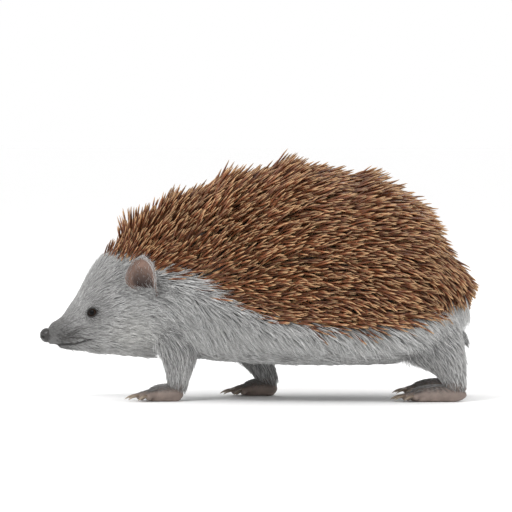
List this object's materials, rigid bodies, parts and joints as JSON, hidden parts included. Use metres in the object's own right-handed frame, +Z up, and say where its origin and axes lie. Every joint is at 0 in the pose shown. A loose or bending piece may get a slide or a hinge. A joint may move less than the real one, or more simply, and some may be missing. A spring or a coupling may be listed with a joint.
{
  "type": "hedgehog",
  "caption": "Life-size adult hedgehog standing in mid-step, with a domed spiny back over a furred face, belly and legs.",
  "frame": {"origin": "on the floor, under the middle of the body's box", "axes": "+Z up, the head towards -X, the animal's left side towards -Y"},
  "size_m": [0.25, 0.126, 0.139],
  "materials": {
    "quills": "horny quills, banded dark brown with pale bases and tips, satin",
    "fur": "coarse grey fur, matt",
    "ear_skin": "thin brown skin with sparse short hair",
    "foot_skin": "bare grey-brown skin, fine wrinkles",
    "nose_skin": "moist black skin, fine bumps",
    "eye": "wet near-black eyeball",
    "claw": "horn, satin"
  },
  "bodies": {
    "root": {"mantle": "quills", "head": "fur", "lower_jaw": "fur", "neck": "fur", "trunk": "fur", "tail": "fur", "nose": "nose_skin", "left_eye": "eye", "left_ear": "ear_skin", "right_eye": "eye", "right_ear": "ear_skin", "left_fore_leg": "fur", "left_fore_foot": "foot_skin", "left_fore_claw_1": "claw", "left_fore_claw_2": "claw", "left_fore_claw_3": "claw", "left_fore_claw_4": "claw", "left_fore_claw_5": "claw", "right_fore_leg": "fur", "right_fore_foot": "foot_skin", "right_fore_claw_1": "claw", "right_fore_claw_2": "claw", "right_fore_claw_3": "claw", "right_fore_claw_4": "claw", "right_fore_claw_5": "claw", "left_hind_leg": "fur", "left_hind_foot": "foot_skin", "left_hind_claw_1": "claw", "left_hind_claw_2": "claw", "left_hind_claw_3": "claw", "left_hind_claw_4": "claw", "left_hind_claw_5": "claw", "right_hind_leg": "fur", "right_hind_foot": "foot_skin", "right_hind_claw_1": "claw", "right_hind_claw_2": "claw", "right_hind_claw_3": "claw", "right_hind_claw_4": "claw", "right_hind_claw_5": "claw"}
  },
  "joints": []
}
